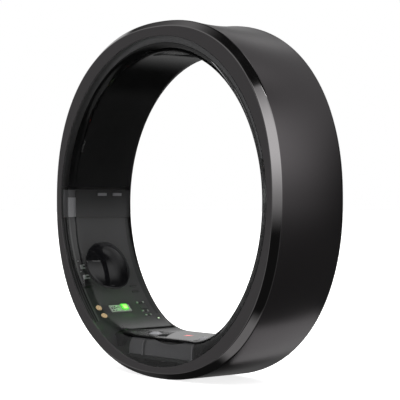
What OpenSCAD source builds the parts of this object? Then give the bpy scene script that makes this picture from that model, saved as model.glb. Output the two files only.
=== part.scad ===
// Smart ring: a metal shell with a rounded-square outline, a clear resin liner with a round bore,
// a flat optical floor at the bottom, a curved battery on top and a curved flexible circuit below.
// The ring's axis is Y, its front face looks to -Y, and the optical floor is at the bottom.

/* [Ring] */
// Inside diameter of the bore, the finger size
bore_d = 22.2; // [20:0.1:24]
// Wall from the bore to the middle of a flat side
wall_t = 2.0; // [1.95:0.05:2.5]
// Width of the ring along the finger
ring_w = 6.7; // [6.5:0.1:8.5]
// How far the rounded corners of the outline stand out past its flat sides
corner_rise = 0.48; // [0.2:0.02:0.6]
// Chamfer of the outer edges, measured across the wall
chamfer_h = 0.45; // [0.2:0.05:0.5]
// Chamfer of the outer edges, measured along the finger
chamfer_w = 0.5; // [0.3:0.05:0.6]
// How far the middle of the top side is hollowed
top_hollow = 0.17; // [0.05:0.01:0.2]

/* [Shell] */
// Metal left between the inner channel and the middle of a flat side
shell_t = 0.6; // [0.5:0.05:0.65]
// Width of the metal lip on each side of the inner channel
lip_w = 0.25; // [0.2:0.05:0.4]
// Height of the metal lip above the channel
lip_h = 0.43; // [0.3:0.01:0.5]
// How far the channel's centre lies below the centre of the outline
channel_drop = 0.1; // [0:0.05:0.15]

/* [Liner] */
// How far the bore's centre lies below the centre of the outline
bore_drop = 0.25; // [0.2:0.01:0.28]
// Resin between the bore and the parts behind it
sleeve_t = 0.5; // [0.4:0.05:0.55]
// Height of the flat optical floor above the bottom of the bore
floor_h = 1.25; // [1:0.05:1.4]
// Thickness of the resin floor over the optical parts
floor_t = 0.15; // [0.1:0.05:0.4]
// Radius of the arc that the ramps beside the floor follow
blend_r = 7; // [6.5:0.25:7.5]
// Gap between two pieces that are seated in each other
seat_gap = 0.02; // [0.01:0.01:0.03]

/* [Lenses] */
// Diameter of the large lens on the side wall
side_lens_d = 4.15; // [3.6:0.05:4.3]
// Height of its domed top
side_lens_h = 0.75; // [0.5:0.05:0.9]
// Angle of the large lens round the ring, from the right-hand side
side_lens_angle = -154; // [-158:1:-152]
// Diameter of the two small lenses on the floor
floor_lens_d = 1.4; // [1:0.1:1.6]
// Height of their domed tops
floor_lens_h = 0.28; // [0.2:0.02:0.35]
// Distance of each small lens from the middle of the floor
floor_lens_x = 2.9; // [2.7:0.1:3.1]

/* [Battery] */
// Thickness of the curved cell
battery_t = 0.66; // [0.5:0.02:0.68]
// Gap between the cell and each side of the channel
battery_side_gap = 0.2; // [0.1:0.05:0.5]
// Angle at which the cell starts, on the right-hand side
battery_start = 14; // [12:1:30]
// Angle at which the cell ends, on the left-hand side
battery_end = 174; // [150:1:174]

/* [Circuit] */
// Thickness of the flexible circuit
flex_t = 0.1; // [0.08:0.01:0.12]
// Gap between the flexible circuit and each side of the channel
flex_side_gap = 0.1; // [0.05:0.05:0.25]
// Diameter of the two charging contacts
contact_d = 0.6; // [0.5:0.05:0.7]
// Thickness of the sensor board
board_t = 0.2; // [0.15:0.01:0.25]
// How far the sensor board reaches past the light detectors on each side
board_rim_w = 0.425; // [0.375:0.025:0.5]

/* [Hidden] */
$fn = 180;
// overrun of every cut past the face it leaves by
over = 1;
// gap of the layers that lie against the curved wall of the channel
layer_gap = 0.02;

// outline
half_size = bore_d / 2 + wall_t;
// share of the half size by which a flat side's arc centre lies past the middle
side_centre_share = 0.25;
side_shift = side_centre_share * half_size;
side_r = half_size + side_shift;

// shell and liner
bore_r = bore_d / 2;
channel_r = half_size - shell_t;
hole_r = channel_r - lip_h;
edge_round = hole_r - bore_r - (bore_drop - channel_drop);
channel_w = ring_w - 2 * lip_w;
sleeve_r = bore_r + sleeve_t;
floor_z = floor_h - bore_r - bore_drop;
blend_z = floor_z + blend_r;
blend_drop = blend_z + bore_drop;
blend_x = sqrt(pow(bore_r - blend_r, 2) - pow(blend_drop, 2));
blend_angle = atan2(-blend_drop, blend_x);
ramp_angle = (90 - blend_angle) / 2;
ramp_distance = blend_r + blend_x * sin(ramp_angle) - blend_drop * cos(ramp_angle);

// layers against the channel wall, from the outside in
tape_t = 0.06;
tape_out_r = channel_r - layer_gap;
tape_in_r = tape_out_r - tape_t;
flex_w = channel_w - 2 * flex_side_gap;
flex_out_r = tape_in_r - layer_gap;
flex_in_r = flex_out_r - flex_t;
film_t = 0.06;
film_in_r = sleeve_r + layer_gap;
film_out_r = film_in_r + film_t;
battery_w = channel_w - 2 * battery_side_gap;
battery_in_r = film_out_r + layer_gap;
battery_out_r = battery_in_r + battery_t;
battery_tape_in_r = battery_out_r + layer_gap;
battery_tape_out_r = battery_tape_in_r + tape_t;
flex_start = -185;
flex_end = 8;

// battery header, tab and terminals
header_t = 0.3;
header_start = 175.4;
header_end = 186.1;
header_out_r = flex_in_r;
header_in_r = header_out_r - header_t;
terminal_l = 0.86;
terminal_w = 0.24;
terminal_t = 0.12;
terminal_angle = 177;
// places along the finger as shares of the circuit's width
terminal_shares = [0.058, 0.307];
tab_t = 0.1;
tab_w = 0.65;
tab_start = 175.6;
tab_end = 185.9;
tab_front_gap = 0.05;

// carrier of the optical parts, under the liner's floor
carrier_side_gap = 0.4;
carrier_d = channel_w - 2 * carrier_side_gap;
carrier_t = 0.15;
carrier_top_z = floor_z - floor_t - seat_gap;
carrier_bottom_z = carrier_top_z - carrier_t;
bulge_w = 3.4;
bulge_h = 0.25;
bulge_d = 0.5;
bulge_x = 1.1;
// radius of the bulge under the carrier
bulge_r = (pow(bulge_w / 2, 2) + pow(bulge_h, 2)) / (2 * bulge_h);
well_gap = 0.06;
floor_lens_y = -0.95;

// sensor board, which seats by its two edges in the curved circuit, and what stands on it
floor_diode_w = 1.15;
board_edge_gap = 0.25;
board_w = 2 * (floor_lens_x + board_rim_w) + floor_diode_w;
board_d = carrier_d - 2 * board_edge_gap;
board_bottom_z = seat_gap - channel_drop - sqrt(pow(flex_in_r, 2) - pow(board_w / 2, 2));
board_top_z = board_bottom_z + board_t;
optic_h = 0.5;
red_led_size = [0.8, 0.5];
red_led_x = 0;
red_led_y = 0.46;
frame_t = 0.15;
frame_edge_gap = 0.1;
frame_front_gap = 0.35;
frame_w = board_w - 2 * frame_edge_gap;
frame_d = board_d - 2 * frame_front_gap;
frame_h = carrier_bottom_z - board_top_z - 2 * seat_gap;
pin_d = 0.24;
pin_edge_gap = 0.03;
pin_y = pin_edge_gap + (pin_d - board_d) / 2;
// places across the board as shares of half its width
pin_shares = [-0.528, 0.949];
interposer_w = 0.7;
interposer_edge_gap = 0.4;
interposer_d = board_d - 2 * interposer_edge_gap;
interposer_x = 2.3;

// carrier's width and its legs, one on each side of the board, and the pocket that it seats in
leg_w = 1.08;
leg_board_gap = 0.42;
leg_foot_w = 0.36;
leg_foot_inset = 0.6;
leg_foot_gap = 0.36;
carrier_w = board_w + 2 * (leg_board_gap + leg_w);
leg_x = carrier_w / 2 - seat_gap;
foot_x = leg_x - leg_foot_inset;
foot_z = leg_foot_gap - channel_drop - sqrt(pow(flex_in_r, 2) - pow(foot_x, 2));
leg_h = carrier_top_z - foot_z;
pocket_gap = 0.04;
pocket_w = carrier_w + 2 * pocket_gap;
pocket_d = carrier_d + 2 * pocket_gap;

// side lens
side_lens_y = -0.2;
side_lens_rim_r = sqrt(bore_r * bore_r - pow(side_lens_d / 2, 2));
side_diode_size = [2.4, 2.4];
side_diode_h = 0.4;

// green light source: module, lit chip and detector, with places from the module's middle
green_angle = -132.9;
green_share = -0.066;
green_y = green_share * flex_w;
green_module_size = [1.05, 2.17];
green_chip_size = [0.66, 0.74];
green_chip_y = 0.36;
detector_size = [0.74, 0.78];
detector_y = -0.56;

// charging contacts and test pads
contact_side_gap = 0.15;
contact_y = contact_side_gap + (contact_d - channel_w) / 2;
contact_angles = [-133.4, -128.7];
contact_recess = 0.03;
test_pad_angles = [-153.4, -148.9];
test_pad_size = [0.4, 0.4];
test_pad_side_gap = 0.75;
test_pad_y = test_pad_side_gap + (test_pad_size[1] - channel_w) / 2;
test_pad_t = 0.05;

// parts on the flexible circuit: heights
chip_h = 0.42;
low_chip_h = 0.3;
passive_h = 0.28;
die_h = 0.08;
// sizes round the ring and along the finger
charger_size = [0.5, 0.86];
status_size = [0.3, 0.3];
temperature_size = [0.8, 0.8];
front_end_size = [2, 2];
processor_size = [2.6, 2.6];
memory_size = [1.6, 2];
power_chip_size = [1.5, 1.5];
inductor_size = [1.2, 1];
accelerometer_size = [2, 2];
crystal_size = [1, 1.6];
antenna_size = [1.1, 3];
passive_size = [0.32, 0.62];
// places: angle round the ring, and distance from its middle as a share of the circuit's width
charger_shares = [-132.4, 0.292];
status_shares = [-125.1, 0.38];
temperature_edge_gap = 0.94;
temperature_angle = -90 - asin((carrier_w / 2 + temperature_edge_gap) / flex_in_r);
temperature_shares = [temperature_angle, -0.2];
front_end_shares = [-90, 0];
processor_shares = [-52, 0];
memory_shares = [-38, 0.11];
power_chip_shares = [-27, -0.11];
inductor_shares = [-27, 0.21];
accelerometer_shares = [-16, 0];
crystal_shares = [-7, 0.26];
antenna_shares = [2, -0.11];
capacitor_shares = [[-135.6, 0.265], [-130, 0.309], [-127.8, 0.345], [-142, 0.32], [-144.5, 0.32]];
resistor_shares = [[-146, -0.36], [-18, -0.36], [-20.5, -0.36], [-31, 0.38], [-33, 0.38]];

// Turns a shape drawn with its axis along Z so that its axis lies along the finger.
module along_finger() {
    rotate([90, 0, 0]) children();
}

// A disc about the ring's axis, centred on the ring's width.
module disc(radius, width, drop) {
    along_finger() translate([0, -drop, 0]) cylinder(r = radius, h = width, center = true);
}

// A curved band from one angle to another, angles counted from the right-hand side upwards.
module band(r_in, r_out, width, from_angle, to_angle, drop = channel_drop, y = 0) {
    translate([0, y, 0]) along_finger() translate([0, -drop, 0]) rotate(from_angle)
        rotate_extrude(angle = to_angle - from_angle)
            translate([r_in, -width / 2]) square([r_out - r_in, width]);
}

// Places a piece on a wall of the given radius: its Z points to the finger and its Y along it.
module on_wall(angle, radius, y, drop = channel_drop) {
    translate([0, y, -drop]) rotate([0, -angle, 0]) translate([radius, 0, 0])
        rotate([0, -90, 0]) children();
}

// A block of the given size, round the ring and along the finger, that stands on the plane Z = 0.
module block(size, height) {
    translate([-size[0] / 2, -size[1] / 2, 0]) cube([size[0], size[1], height]);
}

// The radius at which a flat piece of the given size seats by its two edges in the curved circuit.
function seat_r(size) = sqrt(pow(flex_in_r, 2) - pow(size[0] / 2, 2)) - seat_gap;

// A part on the circuit, placed by its angle and by its share of the circuit's width.
module chip(place_shares, size, height) {
    on_wall(place_shares[0], seat_r(size), place_shares[1] * flex_w) block(size, height);
}

// Half of the shell's cross-section, from the ring's axis out to the given radius.
module shell_profile(radius) {
    polygon([
        [0, -ring_w / 2],
        [radius - chamfer_h, -ring_w / 2],
        [radius, chamfer_w - ring_w / 2],
        [radius, ring_w / 2 - chamfer_w],
        [radius - chamfer_h, ring_w / 2],
        [0, ring_w / 2]
    ]);
}

// The cross-section of the hollowed side, with its outer line as a shallow arc.
module hollowed_profile(radius) {
    side_w = ring_w - 2 * chamfer_w;
    hollow_r = (pow(side_w / 2, 2) + pow(top_hollow, 2)) / (2 * top_hollow);
    difference() {
        shell_profile(radius);
        translate([radius + hollow_r - top_hollow, 0]) circle(r = hollow_r);
    }
}

// The rounded-square block with chamfered edges: what four wide discs, one for each flat side,
// and one smaller disc for the corners have in common.
module outline_block() {
    intersection() {
        for_side(0) rotate_extrude() shell_profile(side_r);
        for_side(90) rotate_extrude() hollowed_profile(side_r);
        for_side(180) rotate_extrude() shell_profile(side_r);
        for_side(270) rotate_extrude() shell_profile(side_r);
        along_finger() rotate_extrude() shell_profile(half_size + corner_rise);
    }
}

// Places the wide disc of the flat side at the given angle.
module for_side(angle) {
    along_finger() rotate(angle) translate([-side_shift, 0]) children();
}

// Half of the cross-section of the space for the finger, flared at both ends by the edge round.
module bore_profile(radius) {
    translate([0, -ring_w / 2 - over]) square([radius, ring_w + 2 * over]);
    for (side = [0, 1]) mirror([0, side]) difference() {
        translate([radius, ring_w / 2 - edge_round])
            square([edge_round, edge_round + over]);
        translate([radius + edge_round, ring_w / 2 - edge_round]) circle(r = edge_round);
    }
}

// All that lies to the finger's side of a plane at the given angle and distance from the bore's axis.
module finger_side(angle, distance) {
    translate([0, 0, -bore_drop]) rotate([0, angle, 0])
        translate([-bore_d, 0, 2 * bore_d - distance]) rotate([0, 90, 0])
            linear_extrude(2 * bore_d) bore_profile(2 * bore_d);
}

// The space for the finger: a round bore with the flat optical floor and a ramp on each side of it.
module finger_space() {
    intersection() {
        along_finger() translate([0, -bore_drop]) rotate_extrude() bore_profile(bore_r);
        finger_side(0, bore_r - floor_h);
        finger_side(ramp_angle, ramp_distance);
        finger_side(-ramp_angle, ramp_distance);
    }
}

// The machined metal shell, with a channel inside for the electronics.
module outer_shell() {
    color("#26262a") difference() {
        outline_block();
        disc(hole_r, ring_w + 2 * over, channel_drop);
        disc(channel_r, channel_w, channel_drop);
    }
}

// The clear resin liner: two side flanges, a thin sleeve and the optical floor.
module inner_liner() {
    color("#3a3c40", 0.6) difference() {
        union() {
            disc(sleeve_r, ring_w, channel_drop);
            for (side = [-1, 1]) translate([0, side * (ring_w - lip_w) / 2, 0])
                disc(hole_r - seat_gap, lip_w, channel_drop);
        }
        finger_space();
        translate([-pocket_w / 2, -pocket_d / 2, carrier_top_z - over - bore_d / 2])
            cube([pocket_w, pocket_d, over + bore_d / 2 + seat_gap]);
        on_wall(side_lens_angle, sleeve_r + over, side_lens_y, bore_drop)
            cylinder(d = side_lens_d + 2 * seat_gap, h = 2 * over + sleeve_t);
        for (side = [-1, 1]) translate([side * floor_lens_x, floor_lens_y, floor_z - over])
            cylinder(d = floor_lens_d + 2 * seat_gap, h = 2 * over);
        contact_places() cylinder(d = contact_d + 2 * seat_gap, h = 2 * over);
    }
}

// The space a domed lens top fills: a cap of the given diameter and height on the plane Z = 0.
module dome(diameter, height) {
    cap_r = (pow(diameter / 2, 2) + pow(height, 2)) / (2 * height);
    intersection() {
        translate([0, 0, height - cap_r]) sphere(r = cap_r);
        cylinder(d = diameter + over, h = height + over);
    }
}

// The large domed lens on the side wall, with a round plug that seats in the liner.
module side_lens() {
    plug_h = sleeve_r - side_lens_rim_r - 2 * seat_gap;
    color("#0c0c0e") on_wall(side_lens_angle, side_lens_rim_r, side_lens_y, bore_drop) {
        translate([0, 0, -plug_h]) cylinder(d = side_lens_d, h = plug_h);
        dome(side_lens_d, side_lens_h);
    }
}

// The two small domed lenses on the floor, each with a plug through the resin floor.
module floor_lenses() {
    color("#55565a") for (side = [-1, 1])
        translate([side * floor_lens_x, floor_lens_y, floor_z]) {
            translate([0, 0, -floor_t]) cylinder(d = floor_lens_d, h = floor_t);
            dome(floor_lens_d, floor_lens_h);
        }
}

// The curved rechargeable cell.
module battery() {
    color("#8d9094") band(battery_in_r, battery_out_r, battery_w, battery_start, battery_end);
}

// The dark insulating film on the cell's inner face.
module battery_film() {
    color("#1c1d1f") band(film_in_r, film_out_r, battery_w, battery_start, battery_end);
}

// The adhesive that holds the cell in the channel.
module battery_tape() {
    color("#b9a878")
        band(battery_tape_in_r, battery_tape_out_r, battery_w, battery_start, battery_end);
}

// The short board that joins the cell to the flexible circuit.
module battery_header() {
    color("#2c3330") band(header_in_r, header_out_r - layer_gap, flex_w, header_start, header_end);
}

// The two welded terminals on the header.
module battery_terminals() {
    color("#a8a9ab") for (share = terminal_shares)
        on_wall(terminal_angle, header_in_r - seat_gap, share * flex_w)
            block([terminal_w, terminal_l], terminal_t);
}

// The nickel tab at the front edge of the header.
module battery_tab() {
    color("#9a9b9d") band(header_in_r - seat_gap - tab_t, header_in_r - seat_gap, tab_w,
        tab_start, tab_end, y = tab_front_gap + (tab_w - channel_w) / 2);
}

// The flexible printed circuit round the lower half of the channel.
module flex_circuit() {
    color("#3c423e") band(flex_in_r, flex_out_r, flex_w, flex_start, flex_end);
}

// The adhesive that holds the circuit in the channel.
module circuit_tape() {
    color("#b9a878") band(tape_in_r, tape_out_r, flex_w, flex_start, flex_end);
}

// The light detector behind the large lens.
module side_photodiode() {
    color("#20242c") on_wall(side_lens_angle, seat_r(side_diode_size), side_lens_y)
        block(side_diode_size, side_diode_h);
}

// The pale package of the green light source.
module green_led_module() {
    color("#c9ccc6") on_wall(green_angle, seat_r(green_module_size), green_y)
        block(green_module_size, low_chip_h);
}

// A thin die that lies on the green module.
module module_die(y, size) {
    on_wall(green_angle, seat_r(green_module_size) - low_chip_h - seat_gap, green_y + y)
        block(size, die_h);
}

// The lit chip of the green light source.
module green_led_chip() {
    color("#3cff5a") module_die(green_chip_y, green_chip_size);
}

// The light detector beside the lit chip.
module green_light_detector() {
    color("#2b2f38") module_die(detector_y, detector_size);
}

// Places what follows at each charging contact, on the circuit and pointing to the finger.
module contact_places() {
    for (angle = contact_angles)
        on_wall(angle, flex_in_r - seat_gap, contact_y) children();
}

// The two gold pins that reach from the circuit to the bore's surface.
module charging_contacts() {
    color("#c9a24e") difference() {
        contact_places() cylinder(d = contact_d, h = flex_in_r - bore_r + over / 2);
        disc(bore_r + contact_recess, ring_w, bore_drop);
    }
}

// The charger's chip beside the green module.
module charger_chip() {
    color("#3b3d40") chip(charger_shares, charger_size, low_chip_h);
}

// The small capacitors round the charger.
module capacitors() {
    color("#8c8577") for (shares = capacitor_shares) chip(shares, passive_size, passive_h);
}

// The small resistors beside the larger chips.
module resistors() {
    color("#202224") for (shares = resistor_shares) chip(shares, passive_size, passive_h);
}

// Bare test pads beside the large lens.
module test_pads() {
    color("#b8b8b6") for (angle = test_pad_angles)
        on_wall(angle, seat_r(test_pad_size), test_pad_y) block(test_pad_size, test_pad_t);
}

// A tiny indicator light near the floor's rear edge.
module status_led() {
    color("#dff5d8") chip(status_shares, status_size, low_chip_h);
}

// The sensor of skin temperature beside the floor.
module temperature_sensor() {
    color("#2a2b2d") chip(temperature_shares, temperature_size, low_chip_h);
}

// The dark frame under the floor that keeps the optical parts' light apart.
module sensor_carrier() {
    color("#1a1b1d") translate([0, 0, carrier_top_z]) difference() {
        union() {
            translate([-carrier_w / 2, -carrier_d / 2, -carrier_t]) cube([carrier_w, carrier_d, carrier_t]);
            for (turn = [0, 180]) rotate(turn) carrier_leg();
            carrier_bulge();
        }
        for (side = [-1, 1]) translate([side * floor_lens_x, floor_lens_y, -over])
            cylinder(d = floor_lens_d, h = 2 * over);
        translate([red_led_x, red_led_y, -over])
            block([for (side = red_led_size) side + 2 * well_gap], 2 * over);
    }
}

// One of the carrier's two tapered legs.
module carrier_leg() {
    rotate([90, 0, 0]) linear_extrude(carrier_d, center = true) polygon([
        [leg_x - leg_w, -carrier_t / 2],
        [foot_x - leg_foot_w, -leg_h],
        [foot_x, -leg_h],
        [leg_x, -carrier_t / 2]
    ]);
}

// The shallow rounded bulge under the carrier's front edge.
module carrier_bulge() {
    translate([bulge_x, (bulge_d - carrier_d) / 2, bulge_r - bulge_h - carrier_t])
        rotate([90, 0, 0]) intersection() {
            cylinder(r = bulge_r, h = bulge_d, center = true);
            translate([-bulge_w / 2, -bulge_r, -bulge_d / 2])
                cube([bulge_w, bulge_h + carrier_t / 2, bulge_d]);
        }
}

// The rigid board that carries the optical parts.
module sensor_board() {
    color("#1f4a36") translate([-board_w / 2, -board_d / 2, board_bottom_z])
        cube([board_w, board_d, board_t]);
}

// The red light source under the floor.
module red_led() {
    color("#c8352c") translate([red_led_x, red_led_y, board_top_z + seat_gap])
        block(red_led_size, optic_h);
}

// The two light detectors under the small lenses.
module floor_photodiodes() {
    color("#242a36") for (side = [-1, 1])
        translate([side * floor_lens_x, floor_lens_y, board_top_z + seat_gap])
            cylinder(d = floor_diode_w, h = optic_h);
}

// The two bright pins that stand between the board and the carrier near the front.
module carrier_pins() {
    color("#c8c9cb") for (share = pin_shares)
        translate([share * board_w / 2, pin_y, board_top_z + seat_gap]) cylinder(d = pin_d, h = frame_h);
}

// The grey metal frame on the board that keeps stray light and noise from the detectors.
module shield_frame() {
    color("#6e6f72") translate([0, 0, board_top_z + seat_gap]) difference() {
        block([frame_w, frame_d], frame_h);
        translate([0, 0, -over])
            block([frame_w - 2 * frame_t, frame_d - 2 * frame_t], frame_h + 2 * over);
    }
}

// The two blocks that join the board to the flexible circuit.
module board_interposers() {
    base_z = -channel_drop - sqrt(pow(flex_in_r, 2) - pow(interposer_x + interposer_w / 2, 2));
    color("#24503c") for (side = [-1, 1])
        translate([side * interposer_x - interposer_w / 2, -interposer_d / 2, base_z + seat_gap])
            cube([interposer_w, interposer_d, board_bottom_z - base_z - 2 * seat_gap]);
}

// The chip that drives the optical parts and reads them.
module sensor_front_end() {
    color("#1d1e20") chip(front_end_shares, front_end_size, low_chip_h);
}

// The processor with its radio.
module main_processor() {
    color("#1b1c1e") chip(processor_shares, processor_size, chip_h);
}

// The memory that holds the measurements.
module memory_chip() {
    color("#202123") chip(memory_shares, memory_size, chip_h);
}

// The chip that makes the supply voltages.
module power_chip() {
    color("#232427") chip(power_chip_shares, power_chip_size, chip_h);
}

// The coil of the voltage converter.
module power_inductor() {
    color("#4a4642") chip(inductor_shares, inductor_size, chip_h);
}

// The motion sensor.
module accelerometer() {
    color("#2d2e31") chip(accelerometer_shares, accelerometer_size, chip_h);
}

// The quartz crystal of the processor's clock.
module crystal() {
    color("#b7b8ba") chip(crystal_shares, crystal_size, low_chip_h);
}

// The small radio antenna at the end of the circuit.
module chip_antenna() {
    color("#d8d6cf") chip(antenna_shares, antenna_size, chip_h);
}

outer_shell();
inner_liner();
side_lens();
floor_lenses();
battery();
battery_film();
battery_tape();
battery_header();
battery_terminals();
battery_tab();
flex_circuit();
circuit_tape();
side_photodiode();
green_led_module();
green_led_chip();
green_light_detector();
charging_contacts();
charger_chip();
capacitors();
resistors();
test_pads();
status_led();
temperature_sensor();
sensor_carrier();
sensor_board();
red_led();
floor_photodiodes();
carrier_pins();
shield_frame();
board_interposers();
sensor_front_end();
main_processor();
memory_chip();
power_chip();
power_inductor();
accelerometer();
crystal();
chip_antenna();
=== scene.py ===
"""Looks for a smart ring: shell, resin, lenses, circuit parts and a small photo studio."""
import math

import bpy
import numpy as np
from bpy.props import (FloatProperty, FloatVectorProperty, IntProperty,
                       PointerProperty)
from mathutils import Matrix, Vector


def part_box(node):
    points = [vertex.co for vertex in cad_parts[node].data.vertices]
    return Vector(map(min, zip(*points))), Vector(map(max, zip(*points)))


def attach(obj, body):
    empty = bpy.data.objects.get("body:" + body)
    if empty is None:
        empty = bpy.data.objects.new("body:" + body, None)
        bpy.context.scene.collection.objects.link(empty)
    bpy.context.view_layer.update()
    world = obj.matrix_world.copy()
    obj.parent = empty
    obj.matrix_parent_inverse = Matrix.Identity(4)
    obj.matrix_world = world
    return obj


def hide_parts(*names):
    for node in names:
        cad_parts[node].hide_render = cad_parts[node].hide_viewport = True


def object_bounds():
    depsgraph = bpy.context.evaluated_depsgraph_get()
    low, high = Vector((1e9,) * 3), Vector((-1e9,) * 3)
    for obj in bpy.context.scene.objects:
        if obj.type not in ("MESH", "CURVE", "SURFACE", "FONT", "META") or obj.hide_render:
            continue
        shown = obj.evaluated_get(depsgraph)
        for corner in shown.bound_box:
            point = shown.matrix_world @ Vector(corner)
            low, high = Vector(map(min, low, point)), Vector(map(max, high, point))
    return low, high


bl_info = {
    "name": "Smart Ring Dresser",
    "version": (1, 0, 0),
    "blender": (4, 5, 0),
    "location": "3D View > Sidebar > Ring",
    "description": "Builds the visible surfaces and finishes of a smart ring round its CAD frame",
    "category": "Object",
}

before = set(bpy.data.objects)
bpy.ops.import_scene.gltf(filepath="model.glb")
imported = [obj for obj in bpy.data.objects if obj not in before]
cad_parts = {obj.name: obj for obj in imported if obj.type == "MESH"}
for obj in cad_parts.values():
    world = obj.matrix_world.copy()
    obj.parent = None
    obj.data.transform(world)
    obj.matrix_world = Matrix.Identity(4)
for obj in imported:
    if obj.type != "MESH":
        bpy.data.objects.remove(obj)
cad_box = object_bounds()

MM = 0.001
SHELL_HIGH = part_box("outer_shell")[1]


# Property helpers

def length(label, text, millimetres):
    """A size in metres, given here in millimetres."""
    return FloatProperty(name=label, description=text, default=millimetres * MM,
                         subtype="DISTANCE", unit="LENGTH", precision=6)


def share(label, text, value):
    """A plain number."""
    return FloatProperty(name=label, description=text, default=value, precision=4)


def angle(label, text, degrees):
    """An angle in radians, given here in degrees."""
    return FloatProperty(name=label, description=text, default=math.radians(degrees),
                         subtype="ANGLE", unit="ROTATION", precision=4)


def colour(label, text, red, green, blue):
    """A linear colour."""
    return FloatVectorProperty(name=label, description=text, default=(red, green, blue),
                               size=3, min=0.0, max=1.0, subtype="COLOR")


class RingShape(bpy.types.PropertyGroup):
    """Sizes of the shell and of the resin liner."""
    half_size: length("Half size", "Half the width across the flat sides",
                      SHELL_HIGH.x / MM)
    half_width: length("Half width", "Half the width along the finger", SHELL_HIGH.y / MM)
    outline_power: share("Outline power", "Power of the rounded-square outline", 2.2366)
    chamfer_across: length("Chamfer across", "Chamfer measured across the wall", 0.45)
    chamfer_along: length("Chamfer along", "Chamfer measured along the finger", 0.5)
    edge_round: length("Edge round", "Rounding of the shell's crisp edges", 0.07)
    crown: length("Crown", "How far the shading of the barrel stands out at mid-width", 0.28)
    top_hollow: length("Top hollow", "How far the middle of the top side is hollowed", 0.17)
    lip_radius: length("Lip radius", "Radius of the shell's inner edge", 12.07)
    lip_drop: length("Lip drop", "How far the inner edge's centre lies low", 0.1)
    lip_width: length("Lip width", "Width of the lip beside the channel", 0.25)
    channel_radius: length("Channel radius", "Radius of the channel for the electronics", 12.5)
    bore_radius: length("Bore radius", "Radius of the bore", 11.1)
    bore_drop: length("Bore drop", "How far the bore's centre lies low", 0.25)
    floor_z: length("Floor height", "Height of the optical floor in the frame", -10.1)
    blend_radius: length("Blend radius", "Radius between the floor and the bore", 7.0)
    resin_round: length("Resin round", "Rounding of the resin's edges", 0.97)
    resin_overlap: length("Resin overlap", "How far the resin enters the shell", 0.008)
    resin_edge: length("Resin edge", "Small rounding where its end face meets the lip", 0.02)
    steps: IntProperty(name="Steps", description="Steps round the ring", default=720)


class LensShape(bpy.types.PropertyGroup):
    """Sizes of the domed lenses."""
    side_diameter: length("Side lens diameter", "Diameter of the large lens", 3.95)
    side_height: length("Side lens height", "Height of its dome above the wall", 0.82)
    side_angle: angle("Side lens angle", "Its angle round the ring", -153.3)
    side_y: length("Side lens place", "Its place along the finger", -0.28)
    side_fillet: length("Side lens fillet", "Fillet between dome and wall", 0.09)
    side_plug: length("Side lens plug", "Depth of its plug under the wall", 0.35)
    floor_diameter: length("Floor lens diameter", "Diameter of a small lens", 1.0)
    floor_height: length("Floor lens height", "Height of its dome", 0.17)
    floor_plug: length("Floor lens plug", "Depth of its plug under the floor", 0.1)
    floor_x: length("Floor lens distance", "Its distance from the middle", 2.9)
    floor_y: length("Floor lens place", "Its place along the finger", -0.95)


class LedShape(bpy.types.PropertyGroup):
    """Sizes and places of the light module, the contacts and the small parts on the wall."""
    seat_radius: length("Seat radius", "Radius of the circuit's inner face", 12.28)
    seat_drop: length("Seat drop", "How far the circuit's centre lies low", 0.1)
    module_turn: angle("Module angle", "Angle of the light module round the ring", -133.7)
    module_y: length("Module place", "Its place along the finger", -0.41)
    module_round: length("Module height", "Its size round the ring", 0.76)
    module_along: length("Module width", "Its size along the finger", 1.92)
    module_height: length("Module rise", "Its height above the circuit", 0.18)
    chip_turn: angle("Chip angle", "Angle of the lit chip from the module's middle", -0.4)
    chip_shift: length("Chip shift", "Its place along the finger from the module's middle", 0.4)
    chip_size: length("Chip size", "Its width", 0.64)
    chip_height: length("Chip height", "Its height above the circuit", 0.42)
    status_turn: angle("Status angle", "Angle of the status light", -126.3)
    status_y: length("Status place", "Its place along the finger", 2.5)
    status_size: length("Status size", "Width of its body", 0.3)
    status_height: length("Status height", "Height of its body", 0.16)
    contact_size: length("Contact size", "Diameter of a contact", 0.50)
    contact_turn: angle("Contact angle", "Angle of the upper contact", -132.5)
    contact_step: angle("Contact step", "Angle between the contacts", 4.6)
    contact_y: length("Contact place", "Their place along the finger", -2.8)
    contact_rise: length("Contact rise", "How far their seat stands inside the bore", 0.012)
    red_size: length("Red window size", "Diameter of the window over the red light", 1.0)
    red_y: length("Red window place", "Its place along the finger", -0.1)
    pad_turn: angle("Pad angle", "Angle of the upper test pad", -154.15)
    pad_step: angle("Pad step", "Angle between the pads", 4.43)
    pad_y: length("Pad place", "Their place along the finger", -2.03)
    pad_along: length("Pad width", "Size of a pad along the finger", 0.36)
    pad_round: length("Pad height", "Size of a pad round the ring", 0.38)
    pad_height: length("Pad thickness", "Height of a pad above the circuit", 0.04)
    charger_turn: angle("Charger angle", "Angle of the charger chip", -134.0)
    charger_y: length("Charger place", "Its place along the finger", 1.9)


class RingFinish(bpy.types.PropertyGroup):
    """Colours of the visible finishes."""
    barrel: colour("Barrel", "Satin black coating of the barrel", 0.15, 0.14, 0.145)
    face: colour("Face", "Matt coating of the flat faces", 0.16, 0.152, 0.156)
    chamfer: colour("Chamfer", "Polished coating of the chamfers", 0.40, 0.385, 0.39)
    resin: colour("Resin", "Tint of the smoky resin", 0.72, 0.72, 0.74)
    gold: colour("Gold", "Gold plating", 0.52, 0.385, 0.21)
    nickel: colour("Nickel", "Nickel plating", 0.55, 0.55, 0.56)
    mask: colour("Solder mask", "Dark solder mask of the circuit", 0.10, 0.10, 0.10)
    red_light: colour("Red light", "Light of the red chip", 1.0, 0.10, 0.08)


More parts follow.
